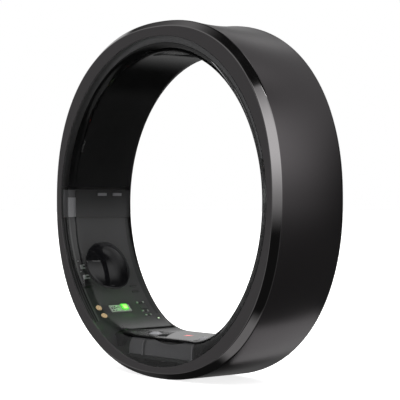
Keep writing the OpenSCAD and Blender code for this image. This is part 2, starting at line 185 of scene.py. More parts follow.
class StudioSetup(bpy.types.PropertyGroup):
    """Camera, floor and lights."""
    camera_distance: length("Camera distance", "From the ring's centre", 105.41)
    camera_azimuth: angle("Camera azimuth", "From the front towards the right", 50.52)
    camera_elevation: angle("Camera elevation", "Above the level", -0.29)
    camera_lens: FloatProperty(name="Focal length", description="Focal length in millimetres",
                               default=127.14, subtype="DISTANCE_CAMERA", unit="CAMERA")
    camera_shift: share("Camera shift", "Sideways shift that frames the ring", 0.02625)
    fill: share("Fill", "Strength of the world's soft fill", 0.55)
    key: share("Key", "Strength of the overhead light in watts", 0.16)


# Surfaces

def put_piece(name, surfaces, finishes=(), smooth=True):
    """One mesh object from one or more surfaces, linked to the scene. A surface is an array of
    points and a list of face arrays, with one row of corner numbers a face. finishes gives the
    number of each surface's finish, and is nought where it isn't given."""
    points, corners, sizes, index, start = [], [], [], [], 0
    for number, (places, faces) in enumerate(surfaces):
        for rows in faces:
            corners.append(np.ravel(rows) + start)
            sizes.append(np.full(len(rows), len(rows[0])))
            index.append(np.full(len(rows), finishes[number] if finishes else 0))
        points.append(places)
        start += len(places)
    corners, sizes = np.concatenate(corners), np.concatenate(sizes)
    mesh = bpy.data.meshes.new(name)
    mesh.vertices.add(start)
    mesh.vertices.foreach_set("co", np.concatenate(points).ravel())
    mesh.loops.add(len(corners))
    mesh.loops.foreach_set("vertex_index", corners)
    mesh.polygons.add(len(sizes))
    mesh.polygons.foreach_set("loop_start", np.cumsum(sizes) - sizes)
    mesh.polygons.foreach_set("use_smooth", np.full(len(sizes), smooth))
    mesh.polygons.foreach_set("material_index", np.concatenate(index))
    mesh.update(calc_edges=True)
    piece = bpy.data.objects.new(name, mesh)
    bpy.context.scene.collection.objects.link(piece)
    return piece


def grid_quads(rows, columns, wrap_rows):
    """Corner numbers of a grid whose columns wrap, and whose rows wrap if asked."""
    i = np.arange(rows if wrap_rows else rows - 1)[:, None]
    j = np.arange(columns)[None, :]
    a = i * columns + j
    b = i * columns + (j + 1) % columns
    c = ((i + 1) % rows) * columns + (j + 1) % columns
    d = ((i + 1) % rows) * columns + j
    return np.stack([a, d, c, b], axis=-1).reshape(-1, 4)


def lathe_surface(rho, y, turn):
    """A closed ring: row i is a point of the section, column j an angle turn[j], and the point
    is (rho cos turn, y, rho sin turn)."""
    points = np.stack([rho * np.cos(turn), y * np.ones_like(turn), rho * np.sin(turn)], axis=-1)
    return points.reshape(-1, 3), [grid_quads(*rho.shape, True)]


def polar_circle(turn, radius, drop):
    """Distance from the origin to a circle whose centre lies drop below it, at each angle."""
    return -drop * np.sin(turn) + np.sqrt(radius ** 2 - (drop * np.cos(turn)) ** 2)


def polar_superellipse(turn, half, power):
    """Distance to the outline: half over the power mean of |cos| and |sin|."""
    return half / (np.abs(np.cos(turn)) ** power + np.abs(np.sin(turn)) ** power) ** (1 / power)


def polar_bore(turn, shape):
    """Distance to the finger's space: the bore's circle, two blend arcs and the flat floor."""
    centre = shape.floor_z + shape.blend_radius
    low = centre + shape.bore_drop
    side = math.sqrt((shape.bore_radius - shape.blend_radius) ** 2 - low ** 2)
    cos, sin = np.abs(np.cos(turn)), np.sin(turn)
    circle = polar_circle(turn, shape.bore_radius, shape.bore_drop)
    along = side * cos + centre * sin
    blend = along + np.sqrt(np.maximum(
        along ** 2 - side ** 2 - centre ** 2 + shape.blend_radius ** 2, 0))
    downward = -0.1
    flat = shape.floor_z / np.minimum(sin, downward)
    meet = math.atan2(low, side)
    top = math.atan2(shape.bore_radius * math.sin(meet) - shape.bore_drop,
                     shape.bore_radius * math.cos(meet))
    rho = np.where(np.arctan2(sin, cos) > top, circle, blend)
    return np.where((sin < downward) & (flat * cos < side), flat, rho)


def rounded_corner(base, before, corner, after, radius, steps=4):
    """A rounded corner of a section, whose points are given as insets from the base distance and
    places along the finger: a quadratic curve that leaves the corner by the radius on each side,
    between two points a little further out."""
    before, corner, after = (np.asarray(p, float) for p in (before, corner, after))
    back = (before - corner) / np.linalg.norm(before - corner) * radius
    ahead = (after - corner) / np.linalg.norm(after - corner) * radius
    t = np.linspace(0, 1, steps)[:, None]
    curve = (1 - t) ** 2 * (corner + back) + 2 * t * (1 - t) * corner + t ** 2 * (corner + ahead)
    further = 1.6
    points = np.vstack([corner + back * further, curve, corner + ahead * further])
    return [(base - inset, y) for inset, y in points]


def ring_turns(shape):
    """The angles of the steps round the ring."""
    return np.linspace(0, 2 * np.pi, shape.steps, endpoint=False)


def ring_section(section, turn):
    """Rows of distances and a column of places along the finger, for the points of a front
    section followed by their mirror image at the back, as a closed loop."""
    rows = np.array([distance * np.ones_like(turn) for distance, _ in section])
    ys = -np.array([y for _, y in section])
    return np.vstack([rows, rows[:0:-1]]), np.concatenate([ys, -ys[:0:-1]])[:, None]


def shell_surface(shape):
    """The metal shell: a section carried round the outline. Each section point is a share
    between the outer outline and the inner circle, or an inset from one of them. The top side
    is hollowed by the cube of the sine and a parabola along the finger."""
    turn = ring_turns(shape)
    outline = polar_superellipse(turn, shape.half_size, shape.outline_power)
    inner = polar_circle(turn, shape.lip_radius, shape.lip_drop)
    channel = polar_circle(turn, shape.channel_radius, shape.lip_drop)
    half_w, across = shape.half_width, shape.chamfer_across
    barrel_end, lip_end = half_w - shape.chamfer_along, half_w - shape.lip_width
    r, margin = shape.edge_round, 3 * shape.edge_round
    hollow = shape.top_hollow * np.clip(np.sin(turn), 0, 1) ** 3
    section = [(outline - hollow * (1 - (y / barrel_end) ** 2), y)
               for y in np.linspace(0, barrel_end - margin, 14)]
    section += rounded_corner(outline, (0, barrel_end - 1), (0, barrel_end), (across, half_w), r)
    section += rounded_corner(outline, (0, barrel_end), (across, half_w), (1, half_w), r)
    section += [((outline - across - margin) * (1 - t) + (inner + margin) * t, half_w)
                for t in np.linspace(0, 1, 8)[1:-1]]
    section += rounded_corner(inner, (-1, half_w), (0, half_w), (0, half_w - 1), r)
    section += rounded_corner(inner, (0, half_w), (0, lip_end), (-1, lip_end), r)
    section += [(channel, lip_end), (channel, lip_end / 2)]
    rows, ys = ring_section(section, turn)
    return lathe_surface(rows[::-1], ys[::-1], turn)


def resin_surface(shape):
    """The resin: the bore, a quarter-elliptic edge at each end, the flat end faces, and the
    sides that reach into the shell's lip and channel."""
    turn = ring_turns(shape)
    bore = polar_bore(turn, shape)
    inner = polar_circle(turn, shape.lip_radius, shape.lip_drop)
    channel = polar_circle(turn, shape.channel_radius, shape.lip_drop)
    half_w, edge = shape.half_width, shape.resin_round
    small, overlap = shape.resin_edge, shape.resin_overlap
    slope = np.gradient(np.log(bore), turn)
    reach = np.minimum(edge * np.sqrt(1 + slope ** 2), inner - bore - small)
    lip_end = half_w - shape.lip_width - overlap
    section = [(bore, y) for y in np.linspace(0, half_w - edge, 12)]
    section += [(bore + reach * (1 - math.cos(t)), half_w - edge + edge * math.sin(t))
                for t in np.radians(np.linspace(5, 90, 18))]
    section += [((bore + reach) * (1 - t) + (inner - small) * t, half_w)
                for t in np.linspace(0, 1, 5)[1:]]
    section += rounded_corner(inner + overlap, (1, half_w), (0, half_w), (0, half_w - 1), small,
                              3)[1:]
    section += [(inner + overlap, lip_end), (channel + overlap, lip_end),
                (channel + overlap, lip_end / 2)]
    return lathe_surface(*ring_section(section, turn), turn)


def wall_seat(turn, y, radius, drop):
    """A place on the wall of the given radius whose centre lies low by drop: its point, and
    rows with the way round, the way along the finger and the way to the finger."""
    outward = np.array([math.cos(turn), 0, math.sin(turn)])
    axes = np.array([[-math.sin(turn), 0, math.cos(turn)], [0, 1, 0], -outward])
    return np.array([0, y, -drop]) + radius * outward, axes


def flat_seat(x, y, z):
    """A place on the floor, with the frame's own axes."""
    return np.array([x, y, z]), np.eye(3)


def turned(s, rise, columns):
    """Rings of points from a profile of distances s and heights rise, turned round an axis."""
    phi = np.linspace(0, 2 * np.pi, columns, endpoint=False)
    return np.stack([np.outer(s, np.cos(phi)), np.outer(s, np.sin(phi)),
                     np.outer(rise, np.ones(columns))], axis=-1)


def closed_surface(rings, heights, seat):
    """A closed surface on a seat: rings of points, given round, along and up from the seat, and
    two poles on its axis at the given heights."""
    base, axes = seat
    count, columns = rings.shape[:2]
    points = base + np.vstack([rings.reshape(-1, 3), np.outer(heights, (0, 0, 1))]) @ axes
    j = np.arange(columns)
    after, last, poles = (j + 1) % columns, (count - 1) * columns, count * columns
    top = np.stack([j, after, np.full(columns, poles)], axis=-1)
    low = np.stack([last + after, last + j, np.full(columns, poles + 1)], axis=-1)
    return points, [grid_quads(count, columns, False), np.vstack([top, low])]


def button(s, rise, seat, columns=40):
    """A closed surface from a profile turned round the seat's axis."""
    return closed_surface(turned(s, rise, columns), (rise[0], rise[-1]), seat)


def cap_rise(s, radius, height):
    """Height of a spherical cap at the distance s from its axis, down to its rim at radius: the
    root of the sphere's radius squared less s squared, less the depth of the sphere's centre."""
    sphere = (radius ** 2 + height ** 2) / (2 * height)
    return np.sqrt(sphere ** 2 - np.minimum(s, radius) ** 2) - (sphere - height)


def side_lens_surface(lens, shape):
    """The large dome, laid over the bore's wall: its height is that of a spherical cap, with a
    parabolic fillet at the rim. Under the wall it has a straight plug."""
    radius, height, fillet = lens.side_diameter / 2, lens.side_height, lens.side_fillet
    s = np.concatenate([radius * np.sin(np.linspace(0.03, 1, 40) * np.pi / 2),
                        radius + fillet * np.linspace(0.1, 1, 8)])
    rim_slope = 2 * radius * height / (radius ** 2 - height ** 2)
    t = np.clip((s - radius + fillet) / (2 * fillet), 0, 1)
    rise = np.where(s > radius - fillet, rim_slope * fillet * (1 - t) ** 2,
                    cap_rise(s, radius, height))
    s = np.append(s, [radius + fillet, radius * 0.5])
    rise = np.append(rise, [-lens.side_plug] * 2)
    rings = turned(s, rise, 96)
    rings[..., 2] += shape.bore_radius - np.sqrt(shape.bore_radius ** 2 - rings[..., 0] ** 2)
    seat = wall_seat(lens.side_angle, lens.side_y, shape.bore_radius, shape.bore_drop)
    return closed_surface(rings, (rise[0], rise[-1]), seat)


def floor_lens_surface(lens, shape, side):
    """A small dome on the floor: a spherical cap on a straight plug."""
    radius = lens.floor_diameter / 2
    s = radius * np.sin(np.linspace(0.06, 1, 16) * np.pi / 2)
    rise = np.append(cap_rise(s, radius, lens.floor_height), [-lens.floor_plug] * 2)
    seat = flat_seat(side * lens.floor_x, lens.floor_y, shape.floor_z)
    return button(np.append(s, [radius, radius * 0.5]), rise, seat, 48)


def block(size, height, seat, corner=0.03 * MM, edge=0.03 * MM):
    """A rounded block that stands on a seat: size is its width round the ring and along the
    finger. Its rings are rounded rectangles, a rectangle plus a circle, which follow a quarter
    round at the top edge."""
    columns, steepness = 32, 4
    phi = np.linspace(0, 2 * np.pi, columns, endpoint=False)
    t = np.radians(np.linspace(90, 0, 5))
    inset = np.append(edge * (1 - np.cos(t)), 0)[:, None]
    z = np.append(height - edge + edge * np.sin(t), 0)[:, None]
    r = np.maximum(corner - inset, corner * 0.3)
    x, y = ((width / 2 - inset - r) * np.clip(steepness * wave, -1, 1) + r * wave
            for width, wave in zip(size, (np.cos(phi), np.sin(phi))))
    rings = np.stack([x, y, z * np.ones(columns)], axis=-1)
    return closed_surface(rings, (height, 0), seat)


def wall_strip(turns, ys, radii, drop, edge=0.02 * MM, columns=48):
    """A thin curved strip on the wall: turns, ys and radii are its ends in degrees, along the
    finger and outwards. Its section is a rectangle with cut corners, and flat ends close it."""
    turn = np.radians(np.linspace(*turns, columns))[:, None]
    (y0, y1), (r0, r1) = ys, radii
    y = np.array([y0 + edge, y1 - edge, y1, y1, y1 - edge, y0 + edge, y0, y0])
    r = np.array([r0, r0, r0 + edge, r1 - edge, r1, r1, r1 - edge, r0 + edge])
    points = np.stack([r * np.cos(turn), y * np.ones_like(turn), r * np.sin(turn) - drop],
                      axis=-1).reshape(-1, 3)
    corners = np.arange(len(y))
    ends = np.stack([corners, len(points) - 1 - corners])
    return points, [grid_quads(columns, len(y), False), ends]


# Node helpers

def put_inputs(tree, node, inputs):
    """Sets a node's sockets by name or number: joined to another node's output, or set to a
    value. A colour is given as three numbers."""
    for key, value in inputs.items():
        socket = node.inputs[key]
        if isinstance(value, bpy.types.NodeSocket):
            tree.links.new(value, socket)
        elif socket.type == "RGBA":
            socket.default_value = (*value, 1.0)
        else:
            socket.default_value = value


def add_node(tree, kind, inputs=None, **settings):
    """A new node with its settings and its sockets' values."""
    node = tree.nodes.new("ShaderNode" + kind)
    for name, value in settings.items():
        setattr(node, name, value)
    put_inputs(tree, node, inputs or {})
    return node


def work_out(tree, operation, *values):
    """One Math node on sockets or numbers."""
    return add_node(tree, "Math", dict(enumerate(values)), operation=operation).outputs[0]


def blend_colours(tree, factor, first, second, blend="MIX"):
    """One Mix node on two colours."""
    return add_node(tree, "Mix", {0: factor, 6: first, 7: second}, data_type="RGBA",
                    blend_type=blend).outputs[2]


def new_material(name):
    """An empty node material with a Principled shader: the material, its tree, the shader and
    the Object coordinates."""
    material = bpy.data.materials.new(name)
    material.use_nodes = True
    tree = material.node_tree
    place = add_node(tree, "TexCoord").outputs["Object"]
    return material, tree, tree.nodes["Principled BSDF"], place


def noise(tree, place, scale, detail=3.0, stretch=(1, 1, 1)):
    """A noise texture, from zero to one. scale is in cells to the metre."""
    mapped = add_node(tree, "Mapping", {"Vector": place, "Scale": stretch}).outputs["Vector"]
    return add_node(tree, "TexNoise", {"Vector": mapped, "Scale": scale,
                                       "Detail": detail}).outputs["Fac"]


def remap(tree, source, low, high):
    """Maps a zero to one factor to a range."""
    return add_node(tree, "MapRange", {"Value": source, "To Min": low,
                                       "To Max": high}).outputs["Result"]


def split_axes(tree, place):
    """The three outputs of a point's coordinates, by the names X, Y and Z."""
    return add_node(tree, "SeparateXYZ", {"Vector": place}).outputs


# Finishes

def grained(name, base, rough, spread, grain, depth, metallic=0.0, stretch=(1, 1, 1),
            tone=0.12, crown=0.0, **extra):
    """A finish with a grain: noise varies its roughness about rough by spread, its colour by a
    share tone, and its bump by depth in metres, with grain cells to the metre. crown is the
    factor of a parabola along the finger, highest at mid-width, laid under the grain."""
    material, tree, shader, place = new_material(name)
    coarse = noise(tree, place, grain * 0.08, 4.0)
    fine = noise(tree, place, grain, 2.0, stretch)
    bump = add_node(tree, "Bump", {"Distance": depth, "Strength": 1.0, "Height": fine})
    if crown:
        along = split_axes(tree, place)["Y"]
        height = work_out(tree, "MULTIPLY", work_out(tree, "MULTIPLY", along, along), -crown)
        swell = add_node(tree, "Bump", {"Distance": 1.0, "Strength": 1.0, "Height": height})
        put_inputs(tree, bump, {"Normal": swell.outputs["Normal"]})
    put_inputs(tree, shader, {
        "Roughness": remap(tree, coarse, max(rough - spread, 0.0), rough + spread),
        "Base Color": blend_colours(tree, fine, [c * (1 - tone) for c in base],
                                    [min(c * (1 + tone), 1) for c in base]),
        "Normal": bump.outputs["Normal"], "Metallic": metallic,
        **{key.replace("_", " "): value for key, value in extra.items()}})
    return material


def resin_material(finish):
    """Clear smoky resin: full transmission with a tint and a faint waviness."""
    material, tree, shader, place = new_material("smoky_resin")
    waves = noise(tree, place, 300.0, 1.0)
    put_inputs(tree, shader, {"Roughness": remap(tree, waves, 0.0, 0.02),
                              "Base Color": finish.resin, "Transmission Weight": 1.0,
                              "IOR": 1.5})
    return material


def light_material(name, tint, strength, base):
    """A lit chip: a glow that a soft noise varies by a fifth."""
    material, tree, shader, place = new_material(name)
    cells = noise(tree, place, 4000.0, 1.0)
    put_inputs(tree, shader, {
        "Emission Strength": remap(tree, cells, strength * 0.8, strength * 1.2),
        "Base Color": base, "Roughness": 0.3, "Emission Color": tint})
    return material


def glow_material(name, tint, centre, radius, strength):
    """A lit window whose light fades from its centre to its rim."""
    material, tree, shader, place = new_material(name)
    reach = add_node(tree, "VectorMath", {0: place, 1: centre}, operation="DISTANCE")
    fade = add_node(tree, "MapRange", {"Value": reach.outputs["Value"], "From Min": radius,
                                       "From Max": 0.0, "To Min": 0.0, "To Max": strength},
                    interpolation_type="SMOOTHERSTEP")
    grain = noise(tree, place, 20000.0)
    put_inputs(tree, shader, {
        "Emission Strength": fade.outputs["Result"], "Roughness": remap(tree, grain, 0.3, 0.5),
        "Base Color": (0.03, 0.02, 0.02), "Emission Color": tint})
    return material


def light_grid_material():
    """Dark moulding under a fine net of pale lines, the borders of small irregular cells. The pale
    lines also glow faintly: painted light.
    """
    material, tree, shader, place = new_material("light_grid")
    cells = add_node(tree, "TexVoronoi", {"Vector": place, "Scale": 5200.0},
                     feature="DISTANCE_TO_EDGE").outputs["Distance"]
    ramp = add_node(tree, "ValToRGB", {"Fac": cells})
    pale, dark = ramp.color_ramp.elements
    pale.position, pale.color = 0.13, (0.8, 0.82, 0.78, 1)
    dark.position, dark.color = 0.24, (0.02, 0.022, 0.02, 1)
    # The pale lines' colour is also their glow: painted light.
    put_inputs(tree, shader, {
        "Base Color": ramp.outputs["Color"], "Emission Color": ramp.outputs["Color"],
        "Roughness": remap(tree, cells, 0.35, 0.6), "Emission Strength": 0.16})
    return material


def wear(piece, *materials):
    """Gives a piece or a CAD node its finishes. A piece that has none yet keeps its faces'
    finish numbers."""
    if piece.data.materials:
        piece.data.materials.clear()
    for material in materials:
        piece.data.materials.append(material)


def finish_piece(piece, materials, slot, *replaced):
    """Gives a piece its finishes and tells the frame where it belongs."""
    wear(piece, *materials)
    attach(piece, "root")
    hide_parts(*replaced)


# Operators

class RING_OT_shell(bpy.types.Operator):
    """Builds the metal shell with its satin barrel, polished chamfers and matt faces."""
    bl_idname = "ring.shell"
    bl_label = "Metal shell"

    def execute(self, context):
        shape, finish = context.scene.ring_shape, context.scene.ring_finish
        piece = put_piece("ring_shell", [shell_surface(shape)])
        paint_shell(piece, shape)
        satin = grained("satin_barrel", finish.barrel, 0.30, 0.03, 60000.0, 2e-7, metallic=1.0,
                        stretch=(1, 0.15, 1), tone=0.05,
                        crown=shape.crown / shape.half_width ** 2)
        matt = grained("matt_face", finish.face, 0.5, 0.04, 90000.0, 3e-7,
                       metallic=1.0, tone=0.06)
        bright = grained("polished_chamfer", finish.chamfer, 0.07, 0.02, 40000.0,
                         3e-8, metallic=1.0, tone=0.04)
        finish_piece(piece, [satin, matt, bright], "shell_metal", "outer_shell")
        return {"FINISHED"}


def paint_shell(piece, shape):
    """Gives the end faces the matt finish, and the chamfers and the rounds of the inner edges
    the polished one, by where the middle of each face lies and how it is turned."""
    faces = piece.data.polygons
    centres, normals = np.empty(len(faces) * 3), np.empty(len(faces) * 3)
    faces.foreach_get("center", centres)
    faces.foreach_get("normal", normals)
    centres, level = centres.reshape(-1, 3), np.abs(normals.reshape(-1, 3)[:, 1])
    chamfer_start = shape.half_width - shape.chamfer_along - 0.02 * MM
    far = np.abs(centres[:, 1]) > chamfer_start
    outside = np.hypot(centres[:, 0], centres[:, 2]) > shape.channel_radius
    slope_start, flat, flat_inside = 0.3, 0.95, 0.9
    index = np.zeros(len(faces), dtype=np.int32)
    index[(level >= flat) | ~outside] = 1
    index[far & (level > slope_start) & (level < np.where(outside, flat, flat_inside))] = 2
    faces.foreach_set("material_index", index)


class RING_OT_resin(bpy.types.Operator):
    """Builds the clear resin with its flat floor and rounded edges."""
    bl_idname = "ring.resin"
    bl_label = "Resin"

    def execute(self, context):
        piece = put_piece("resin_liner", [resin_surface(context.scene.ring_shape)])
        finish_piece(piece, [resin_material(context.scene.ring_finish)], "clear_resin",
                     "inner_liner")
        return {"FINISHED"}


class RING_OT_lenses(bpy.types.Operator):
    """Builds the large domed lens on the wall and the two small ones on the floor."""
    bl_idname = "ring.lenses"
    bl_label = "Lenses"

    def execute(self, context):
        shape, lens = context.scene.ring_shape, context.scene.ring_lens
        dome = put_piece("side_dome", [side_lens_surface(lens, shape)])
        black = grained("black_lens", (0.004, 0.004, 0.0045), 0.05, 0.02, 9000.0, 1e-8, IOR=1.5)
        finish_piece(dome, [black], "dark_lens", "side_lens")
        pair = put_piece("floor_domes",
                         [floor_lens_surface(lens, shape, side) for side in (-1, 1)])
        clear = grained("clear_lens", (0.42, 0.42, 0.44), 0.06, 0.03, 9000.0, 1e-8, IOR=1.55,
                        Transmission_Weight=0.4)
        finish_piece(pair, [clear], "clear_lens", "floor_lenses")
        return {"FINISHED"}


class RING_OT_leds(bpy.types.Operator):
    """Builds the green light module, its lit chip, the red window and the status light."""
    bl_idname = "ring.leds"
    bl_label = "Lights"

    def execute(self, context):
        leds = context.scene.ring_leds
        add_light_module(leds)
        add_lit_chip(leds)
        add_red_window(leds, context.scene.ring_shape, context.scene.ring_finish)
        add_status_light(leds)
        return {"FINISHED"}


def circuit_seat(leds, turn, y):
    """A place on the circuit's inner face."""
    return wall_seat(turn, y, leds.seat_radius, leds.seat_drop)


def add_light_module(leds):
    """The pale package with a paler end, both with a faint pale green glow that is painted light,
    and the detector with its net of lines.
    """
    round_size, along, rise = leds.module_round, leds.module_along, leds.module_height
    grid_y, rest_y = leds.module_y - along * 0.24, leds.module_y + along * 0.42
    module = put_piece("light_module", [
        block((round_size, along), rise, circuit_seat(leds, leds.module_turn, leds.module_y)),
        block((round_size * 0.78, along * 0.12), rise + 0.03 * MM,
              circuit_seat(leds, leds.module_turn, rest_y))], (0, 1))
    # Both package finishes glow faintly pale green: painted light.
    pale = grained("pale_package", (0.85, 0.88, 0.82), 0.5, 0.08, 30000.0, 6e-7,
                   Emission_Color=(0.85, 1.0, 0.8), Emission_Strength=0.13)
    rest = grained("pale_rest", (0.9, 0.95, 0.85), 0.5, 0.08, 30000.0, 6e-7,
                   Emission_Color=(0.75, 1.0, 0.7), Emission_Strength=0.16)
    finish_piece(module, [pale, rest], "pale_package", "green_led_module")
    detector = put_piece("light_detector", [
        block((round_size * 0.74, along * 0.42), rise + 0.01 * MM,
              circuit_seat(leds, leds.module_turn, grid_y))])
    finish_piece(detector, [light_grid_material()], "detector_die", "green_light_detector")


def add_lit_chip(leds):
    """The lit chip: a green block, with a brighter core that stands a little higher."""
    turn, y = leds.module_turn + leds.chip_turn, leds.module_y + leds.chip_shift
    size = np.array([leds.chip_size * 1.02, leds.chip_size])
    chip = put_piece("lit_chip", [
        block(size, leds.chip_height, circuit_seat(leds, turn, y), 0.06 * MM, 0.05 * MM),
        block(size * 0.66, leds.chip_height + 0.01 * MM,
              circuit_seat(leds, turn, y + 0.03 * MM), 0.1 * MM, 0.005 * MM)], (0, 1))
    dark_green = (0.1, 0.3, 0.05)
    finish_piece(chip, [light_material("green_glow", (0.10, 0.72, 0.05), 0.9, dark_green),
                        light_material("green_core", (0.55, 1.0, 0.24), 1.0, dark_green)],
                 "green_light", "green_led_chip")


def add_red_window(leds, shape, finish):
    """The round window over the red light, a shallow dome under the floor."""
    low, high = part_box("red_led")
    x, radius, depth = (low.x + high.x) / 2, leds.red_size / 2, 0.1 * MM
    s = np.linspace(0.05, 1, 12) * radius
    rise = 0.06 * MM * (1 - (s / radius) ** 2)
    window = put_piece("red_window", [
        button(np.append(s, radius * 0.6), np.append(rise, -0.08 * MM),
               flat_seat(x, leds.red_y, shape.floor_z - depth), 48)])
    glow = glow_material("red_glow", finish.red_light,
                         (x, leds.red_y, shape.floor_z - depth / 2), radius, 4.0)
    finish_piece(window, [glow], "red_light", "red_led")


def add_status_light(leds):
    """The small status light: a dark green body with a pale lit face."""
    seat = circuit_seat(leds, leds.status_turn, leds.status_y)
    size, rise = leds.status_size, leds.status_height
    status = put_piece("status_light", [
        block((size, size), rise, seat), block((size * 0.6, size * 0.6), rise + 0.01 * MM, seat)],
        (0, 1))
    body = grained("status_body", (0.02, 0.05, 0.02), 0.4, 0.1, 30000.0, 4e-7)
    lit = light_material("pale_light", (0.75, 1.0, 0.62), 1.1, (0.6, 0.6, 0.6))
    finish_piece(status, [body, lit], "white_light", "status_led")


class RING_OT_contacts(bpy.types.Operator):
    """Builds the gold charging contacts with their dark sleeves, and the test pads."""
    bl_idname = "ring.contacts"
    bl_label = "Contacts and pads"

    def execute(self, context):
        leds = context.scene.ring_leds
        add_contacts(leds, context.scene.ring_shape, context.scene.ring_finish)
        add_test_pads(leds)
        return {"FINISHED"}


# Profiles of a contact's gold cap, with its raised ring and groove, and of its dark sleeve, as
# shares of the contact's radius and heights in microns above its seat.
CONTACT_PROFILES = (
    ((0.1, -35), (0.35, -35), (0.42, 0), (0.62, 0), (0.68, -30), (0.93, -6), (1.0, -25),
     (1.0, -80), (0.8, -80)),
    ((0.2, -60), (0.5, -60), (0.5, -220), (0.3, -220)),
)


def add_contacts(leds, shape, finish):
    """Two turned gold caps on dark sleeves, seated at the distance of the resin's own wall."""
    radius, micron = leds.contact_size / 2, 0.001 * MM
    surfaces = []
    for turn in (leds.contact_turn, leds.contact_turn + leds.contact_step):
        wall = polar_bore(np.array([turn]), shape)[0] - leds.contact_rise
        seat = wall_seat(turn, leds.contact_y, wall, 0)
        surfaces += [button(shares * radius, microns * micron, seat)
                     for shares, microns in (np.array(p).T for p in CONTACT_PROFILES)]
    contacts = put_piece("gold_contacts", surfaces, (0, 1, 0, 1))
    gold = grained("gold", finish.gold, 0.45, 0.1, 30000.0, 6e-7, metallic=0.35)
    sleeve = grained("contact_sleeve", (0.10, 0.10, 0.10), 0.6, 0.08, 20000.0, 5e-7)
    finish_piece(contacts, [gold, sleeve], "gold", "charging_contacts")


def add_test_pads(leds):
    """Two pads, each a back with two arms that leave a notch, and a tiny dot beside it."""
    along, tall = leds.pad_along, leds.pad_round
    arm_reach, dot_reach, dot = tall * 0.36 / leds.seat_radius, math.radians(2.5), 0.08 * MM
    surfaces = []
    for turn in (leds.pad_turn, leds.pad_turn + leds.pad_step):
        for shift, y, size in ((0, -along * 0.3, (tall, along * 0.4)),
                               (-arm_reach, along * 0.14, (tall * 0.3, along * 0.72)),
                               (arm_reach, along * 0.1, (tall * 0.3, along * 0.66)),
                               (-dot_reach, -0.22 * MM, (dot, dot))):
            surfaces.append(block(size, leds.pad_height,
                                  circuit_seat(leds, turn + shift, leds.pad_y + y),
                                  edge=0.01 * MM))
    tin = grained("pad_tin", (0.9, 0.9, 0.9), 0.5, 0.1, 30000.0, 5e-7)
    finish_piece(put_piece("test_pads", surfaces), [tin], "nickel", "test_pads")


class RING_OT_passives(bpy.types.Operator):
    """Builds the capacitors with bright ends, the charger chip and the cell's end tab."""
    bl_idname = "ring.passives"
    bl_label = "Small parts"

    def execute(self, context):
        leds = context.scene.ring_leds
        add_capacitors(leds)
        add_charger_chip(leds)
        add_cell_tab(leds)
        return {"FINISHED"}


# Each capacitor's angle in degrees, its place along the finger and the span between its ends in
# millimetres, and the number of its ends' finish, which is nought where they are dark.
CAPACITORS = ((-136.35, 1.85, 0.55, 1), (-131.55, 1.84, 0.46, 1), (-129.0, 1.85, 0.44, 1),
              (-142.0, 1.97, 0.5, 0), (-144.5, 1.97, 0.5, 0))


def add_capacitors(leds):
    """The capacitors, each with a body along the finger between two ends."""
    round_size, along, height = 0.19 * MM, 0.16 * MM, 0.16 * MM
    surfaces, index = [], []
    for degrees, y, span, ends in CAPACITORS:
        turn, y, span = math.radians(degrees), y * MM, span * MM
        surfaces.append(block((round_size * 0.9, span), height * 0.85,
                              circuit_seat(leds, turn, y)))
        surfaces += [block((round_size, along), height,
                           circuit_seat(leds, turn, y + side * span / 2)) for side in (-1, 1)]
        index += [0, ends, ends]
    group = put_piece("capacitors", surfaces, index)
    body = grained("passive_body", (0.045, 0.042, 0.04), 0.5, 0.1, 30000.0, 6e-7)
    bright = grained("passive_ends", (0.9, 0.9, 0.87), 0.4, 0.1, 30000.0, 5e-7)
    finish_piece(group, [body, bright], "passive_part", "capacitors")


def add_charger_chip(leds):
    """The charger chip, a plain grey block."""
    chip = put_piece("charger_chip", [
        block((0.52 * MM, 0.68 * MM), 0.15 * MM,
              circuit_seat(leds, leds.charger_turn, leds.charger_y))])
    moulding = grained("charger_moulding", (0.13, 0.13, 0.13), 0.6, 0.08, 50000.0, 8e-7)
    finish_piece(chip, [moulding], "chip_body", "charger_chip")


def add_cell_tab(leds):
    """The tab at the cell's end: a bright nickel strip, with the same nickel darker in front and
    above, painted shade.
    """
    outer, inner, front = 11.98 * MM, 11.9 * MM, -2.70 * MM
    tab = put_piece("cell_tab", [
        wall_strip(turns, ys, (radius, outer), leds.seat_drop) for turns, ys, radius in (
            ((175.4, 186.0), (-3.12 * MM, front - 0.01 * MM), inner),
            ((178.3, 186.0), (front, -2.18 * MM), inner - 0.02 * MM),
            ((175.4, 178.2), (front, -2.2 * MM), inner))], (1, 0, 1))
    bright = grained("tab_nickel", (0.66, 0.66, 0.67), 0.45, 0.1, 12000.0, 8e-7, tone=0.06)
    # The same nickel, darker: painted shade on the front strip and the one above.
    shaded_nickel = grained("tab_dim", (0.23, 0.23, 0.232), 0.5, 0.1, 12000.0, 8e-7)
    finish_piece(tab, [bright, shaded_nickel], "nickel", "battery_tab")


# Bands of the flex circuit: the place along the finger where each starts, in millimetres, and the
# share of the mask's colour that it has. The first, nearly black band at the front edge is painted
# shadow beside the shell's lip. Below the low height the circuit is plain grey.
CIRCUIT_BANDS_AND_SHADE = ((-3.1, 0.12), (-2.70, 0.8), (-2.62, 0.02), (-2.55, 0.8), (-2.48, 0.02),
                 (-2.40, 2.1), (-2.32, 1.0), (2.75, 0.55))
CIRCUIT_REACH = 3.1
CIRCUIT_LOW_Z = -9.55


